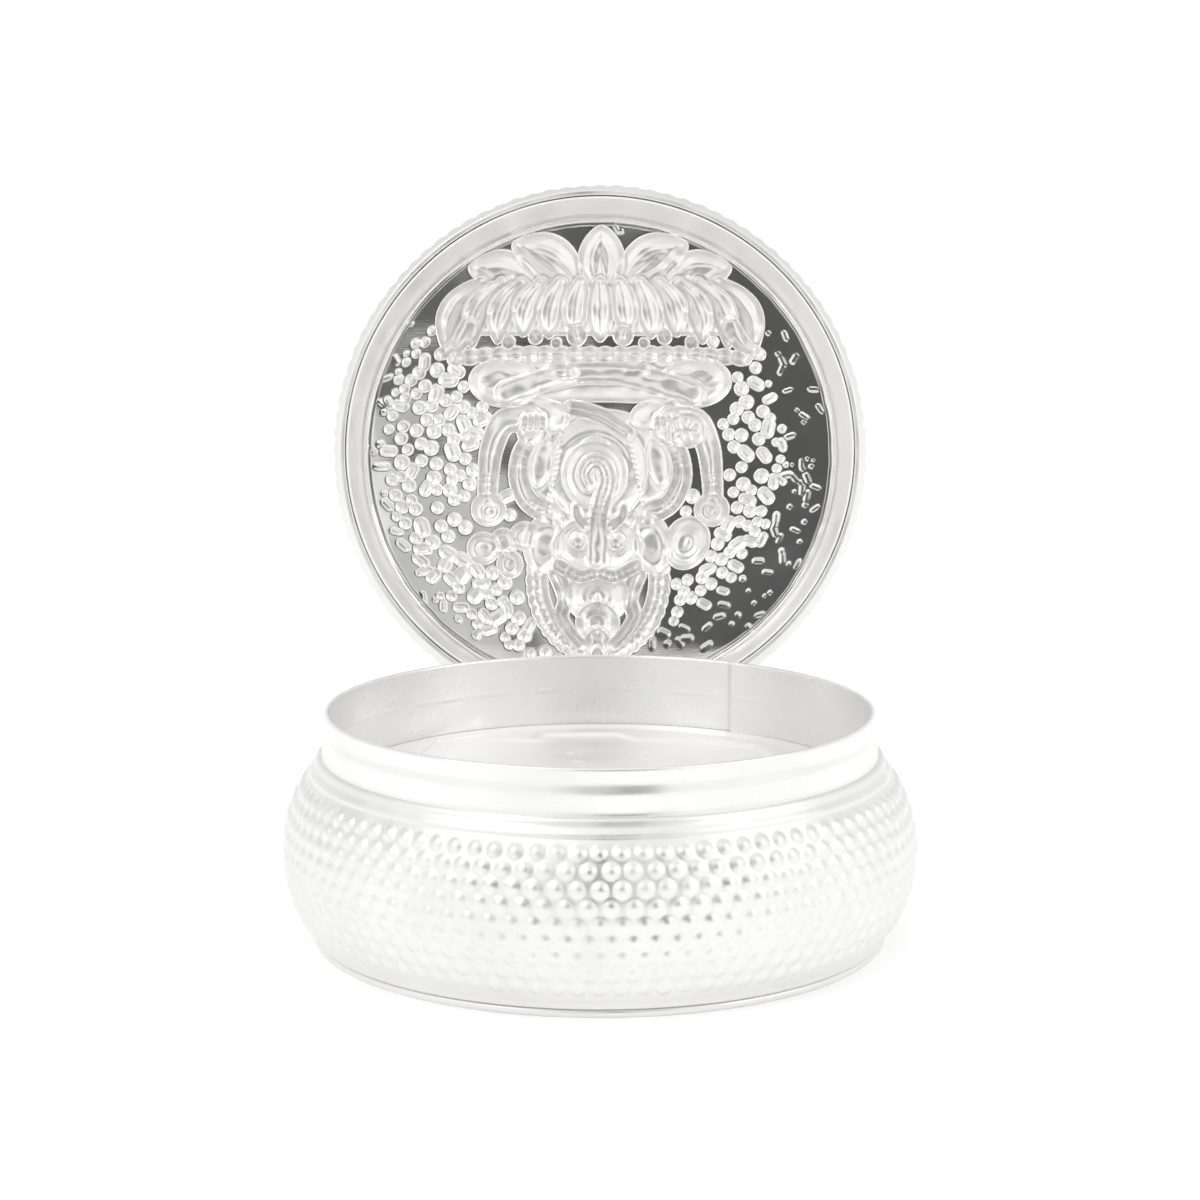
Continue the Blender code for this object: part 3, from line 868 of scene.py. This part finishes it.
def make_hinge():
    knuckles = (("base_knuckle_left", "base"), ("base_knuckle_right", "base"), ("lid_knuckle", "lid"))
    for node, body in knuckles:
        low, high = measured(node)
        rounded_barrel(f"{node}_barrel", low.x, high.x, KNUCKLE_RADIUS, KNUCKLE_BORE, body, [node])
    low, high = measured("hinge_pin")
    radius = (high.z - low.z) / 2
    rounded_barrel("hinge_wire", low.x, high.x, radius, WIRE_CORE, "base", ["hinge_pin"], soft=0.1)
    make_leaf()


def leaf_outline():
    """The tongue seen from behind: square at its foot, with rounded top corners."""
    half, low, high = LEAF_HIGH.x, LEAF_LOW.z, LEAF_HIGH.z
    inset = high - LEAF_CORNER
    outline = [(-half, low), (half, low), (half, (low + high) / 2)]
    for a in np.linspace(0, math.pi / 2, 9):
        outline.append((half - LEAF_CORNER + LEAF_CORNER * math.cos(a), inset + LEAF_CORNER * math.sin(a)))
    outline += [(-x, z) for x, z in outline[::-1] if z > low + 0.01]
    return np.array(outline)


def make_leaf():
    """The tongue from the lid's wall to its knuckle, with softened edges."""
    outline = leaf_outline()
    middle = np.array([0.0, (LEAF_LOW.z + LEAF_HIGH.z) / 2])
    inner, outer = LEAF_LOW.y, LEAF_HIGH.y
    depths = [(inner, 0.1), (inner + 0.03, 0.03), (inner + 0.1, 0.0)]
    depths += [(outer - 0.1, 0.0), (outer - 0.03, 0.03), (outer, 0.1)]
    rings = []
    for y, inset in depths:
        shrunk = outline + (middle - outline) * inset / np.hypot(*(outline - middle).T)[:, None]
        rings.append(np.column_stack([shrunk[:, 0], np.full(len(shrunk), y), shrunk[:, 1]]))
    points = np.vstack(rings + [[[0, inner, middle[1]]], [[0, outer, middle[1]]]])
    count = len(outline)
    quads = [list(quad) for quad in grid_quads(len(rings), count)]
    last = (len(rings) - 1) * count
    fans = []
    for i in range(count):
        fans.append([i, (i + 1) % count, len(points) - 2])
        fans.append([last + (i + 1) % count, last + i, len(points) - 1])
    mesh = bpy.data.meshes.new("lid_leaf")
    mesh.from_pydata([Vector(point) * MM for point in points], [], quads + fans)
    mesh.validate()
    leaf = place_piece("lid_leaf", mesh, "lid", "polished_silver", ["lid_hinge_leaf"], shut=True)
    leaf.data.set_sharp_from_angle(angle=math.radians(50))


# Materials


def noise(nodes, links, vector, scale, detail):
    texture = nodes.new("ShaderNodeTexNoise")
    texture.inputs["Scale"].default_value = scale
    texture.inputs["Detail"].default_value = detail
    links.new(vector, texture.inputs["Vector"])
    return texture.outputs["Fac"]


def clouded(nodes, links, vector, colour, cloud):
    """The colour, with faint darker clouds about 9 mm across."""
    tint = nodes.new("ShaderNodeValToRGB")
    dark, pale = tint.color_ramp.elements
    dark.position, dark.color = 0.3, (*[c * (1 - 0.1 * cloud) for c in colour], 1)
    pale.position, pale.color = 0.7, (*colour, 1)
    links.new(noise(nodes, links, vector, 110.0, 4.0), tint.inputs["Fac"])
    return tint.outputs["Color"]


def uneven_polish(nodes, links, vector, roughness):
    """Roughness that varies from smear to smear."""
    polish = nodes.new("ShaderNodeMapRange")
    polish.inputs["From Min"].default_value = 0.3
    polish.inputs["From Max"].default_value = 0.7
    polish.inputs["To Min"].default_value = roughness * 0.75
    polish.inputs["To Max"].default_value = roughness * 1.35
    links.new(noise(nodes, links, vector, 320.0, 6.0), polish.inputs["Value"])
    return polish.outputs["Result"]


def duller_where_pressed(nodes, links, worn, extra):
    """Adds extra roughness where the sheet was stretched by stamping."""
    stretched = nodes.new("ShaderNodeAttribute")
    stretched.attribute_name = "pressed"
    duller = nodes.new("ShaderNodeMath")
    duller.operation = "MULTIPLY_ADD"
    duller.inputs[1].default_value = extra
    links.new(stretched.outputs["Fac"], duller.inputs[0])
    links.new(worn, duller.inputs[2])
    return duller.outputs["Value"]


def brushed(nodes, links, vector, strength):
    """Fine level lines, as a bump."""
    stretch = nodes.new("ShaderNodeMapping")
    stretch.inputs["Scale"].default_value = (1.0, 1.0, 14.0)
    links.new(vector, stretch.inputs["Vector"])
    bump = nodes.new("ShaderNodeBump")
    bump.inputs["Strength"].default_value = strength
    bump.inputs["Distance"].default_value = 0.02 * MM
    links.new(noise(nodes, links, stretch.outputs["Vector"], 900.0, 3.0), bump.inputs["Height"])
    return bump.outputs["Normal"]


def silver(name, colour, roughness, cloud, brushing, bare=1.0, pressed=None):
    """Silver with faint clouding, uneven polish and fine lines. cloud and brushing are 0 to 1.

    bare is how metallic it is, less where a fine grey bloom has settled. pressed is the roughness where
    the sheet was stretched by stamping, as its "pressed" attribute says.
    """
    material = bpy.data.materials.new(name)
    material.use_nodes = True
    nodes, links = material.node_tree.nodes, material.node_tree.links
    shader = nodes["Principled BSDF"]
    shader.inputs["Metallic"].default_value = bare
    place = nodes.new("ShaderNodeTexCoord").outputs["Object"]
    links.new(clouded(nodes, links, place, colour, cloud), shader.inputs["Base Color"])
    worn = uneven_polish(nodes, links, place, roughness)
    if pressed:
        worn = duller_where_pressed(nodes, links, worn, pressed - roughness)
    links.new(worn, shader.inputs["Roughness"])
    links.new(brushed(nodes, links, place, brushing), shader.inputs["Normal"])
    return material


POLISHED = silver("polished_silver_finish", (0.865, 0.862, 0.855), 0.41, cloud=0.5, brushing=0.06)
SATIN = silver("satin_silver_finish", (0.965, 0.96, 0.952), 0.38, cloud=0.5, brushing=0.2, bare=0.5)
ROLLED = silver("rolled_silver_finish", (0.9, 0.897, 0.89), 0.29, cloud=0.8, brushing=0.1, bare=0.75)
STAMPED = silver("stamped_silver_finish", (0.885, 0.88, 0.87), 0.1, cloud=0.3, brushing=0.1, pressed=0.33)
MATERIALS = {
    "polished_silver": POLISHED,
    "satin_silver": SATIN,
    "rolled_silver": ROLLED,
    "stamped_silver": STAMPED,
}


# Studio


CAMERA_PLACE = Vector((0.0, -186.4, 54.45))
CAMERA_TARGET = Vector((0.0, 0.0, 22.28))
LENS = 87.0
SENSOR = 36.0
FLOOR_HALF = 1500.0


def make_camera():
    data = bpy.data.cameras.new("camera")
    data.lens = LENS
    data.sensor_width = SENSOR
    data.clip_start = 0.01
    camera = bpy.data.objects.new("camera", data)
    bpy.context.scene.collection.objects.link(camera)
    camera.location = CAMERA_PLACE * MM
    camera.rotation_euler = ((CAMERA_TARGET - CAMERA_PLACE) * MM).to_track_quat("-Z", "Y").to_euler()
    bpy.context.scene.camera = camera


def flat_square(name, half_x, half_y, shade, roughness):
    """A level rectangle of one plain grey, in millimetres about its middle, and its shader."""
    half_x, half_y = half_x * MM, half_y * MM
    mesh = bpy.data.meshes.new(name)
    corners = [(-half_x, -half_y, 0), (half_x, -half_y, 0), (half_x, half_y, 0), (-half_x, half_y, 0)]
    mesh.from_pydata(corners, [], [(0, 1, 2, 3)])
    material = bpy.data.materials.new(name)
    material.use_nodes = True
    shader = material.node_tree.nodes["Principled BSDF"]
    shader.inputs["Base Color"].default_value = (shade, shade, shade, 1)
    shader.inputs["Roughness"].default_value = roughness
    mesh.materials.append(material)
    sheet = bpy.data.objects.new(name, mesh)
    bpy.context.scene.collection.objects.link(sheet)
    return sheet, shader


def make_floor():
    """A pale floor that shines a little, as a lit white table does."""
    _, shader = flat_square("floor", FLOOR_HALF, FLOOR_HALF, 0.93, 0.9)
    shader.inputs["Specular IOR Level"].default_value = 0.1
    shader.inputs["Emission Color"].default_value = (1, 1, 1, 1)
    shader.inputs["Emission Strength"].default_value = 0.19


def softbox(name, place, size, power):
    """A rectangular light, in metres, turned to the box."""
    data = bpy.data.lights.new(name, "AREA")
    data.shape = "RECTANGLE"
    data.size, data.size_y = size
    data.energy = power
    light = bpy.data.objects.new(name, data)
    bpy.context.scene.collection.objects.link(light)
    light.location = place
    towards = Vector((0, 0, 0.02)) - Vector(place)
    light.rotation_euler = towards.to_track_quat("-Z", "Y").to_euler()


def card(name, centre, size, shade, lying=False):
    """A card that only the silver's reflections see, as a studio's flags are kept out of view."""
    flag, _ = flat_square(name, size[0] / 2, size[1] / 2, shade, 1.0)
    flag.location = Vector(centre) * MM
    flag.rotation_euler.x = 0.0 if lying else -math.pi / 2
    flag.visible_camera = False
    flag.visible_diffuse = False
    flag.visible_shadow = False


SKY_TONES = ((0.0, 0.9), (0.42, 1.0), (0.56, 1.0), (0.68, 0.86), (0.82, 0.75), (1.0, 0.95))


def ranged(nodes, links, value, low, high, to_low=0.0, to_high=1.0):
    """The value, moved from one range to another."""
    level = nodes.new("ShaderNodeMapRange")
    level.inputs["From Min"].default_value = low
    level.inputs["From Max"].default_value = high
    level.inputs["To Min"].default_value = to_low
    level.inputs["To Max"].default_value = to_high
    links.new(value, level.inputs["Value"])
    return level.outputs["Result"]


def make_world():
    """A white surround at eye level, greyer higher up, so that the silver has something to reflect."""
    world = bpy.data.worlds.new("studio")
    bpy.context.scene.world = world
    world.use_nodes = True
    nodes, links = world.node_tree.nodes, world.node_tree.links
    split = nodes.new("ShaderNodeSeparateXYZ")
    links.new(nodes.new("ShaderNodeTexCoord").outputs["Generated"], split.inputs["Vector"])
    tones = nodes.new("ShaderNodeValToRGB")
    while len(tones.color_ramp.elements) < len(SKY_TONES):
        tones.color_ramp.elements.new(0.5)
    for element, (position, tone) in zip(tones.color_ramp.elements, SKY_TONES):
        element.position = position
        element.color = (tone, tone, tone, 1)
    links.new(ranged(nodes, links, split.outputs["Z"], -1.0, 1.0), tones.inputs["Fac"])
    background = nodes["Background"]
    links.new(tones.outputs["Color"], background.inputs["Color"])
    strength = ranged(nodes, links, split.outputs["Y"], -1.0, 0.1, 1.08, 1.03)
    links.new(strength, background.inputs["Strength"])


def make_studio():
    make_camera()
    make_floor()
    make_world()
    softbox("key_softbox", (-0.35, -0.3, 0.5), (0.4, 0.4), 0.75)
    softbox("fill_softbox", (0.45, -0.2, 0.35), (0.4, 0.3), 0.45)
    card("right_flag", (37.0, -196.0, 84.0), (84.0, 116.0), 0.08)
    card("upper_flag", (-32.0, -196.0, 115.0), (54.0, 54.0), 0.12)
    card("middle_flag", (-22.0, -196.0, 57.0), (34.0, 62.0), 0.55)
    card("left_floor_flag", (-42.0, -108.0, 0.5), (76.0, 56.0), 0.74, lying=True)
    card("right_floor_flag", (44.0, -100.0, 0.5), (40.0, 34.0), 0.74, lying=True)
    bpy.context.scene.view_settings.view_transform = "Standard"


def finish_trough():
    """The hinge trough stays as the CAD has it, in the finish of the wall round it."""
    materials = frame["nodes"]["hinge_trough"].data.materials
    materials.clear()
    materials.append(MATERIALS["polished_silver"])


make_studio()
make_body()
make_plate()
make_collar()
make_tray_floor()
make_lid_wall()
make_lid_liner()
make_panel()
make_hinge()
finish_trough()
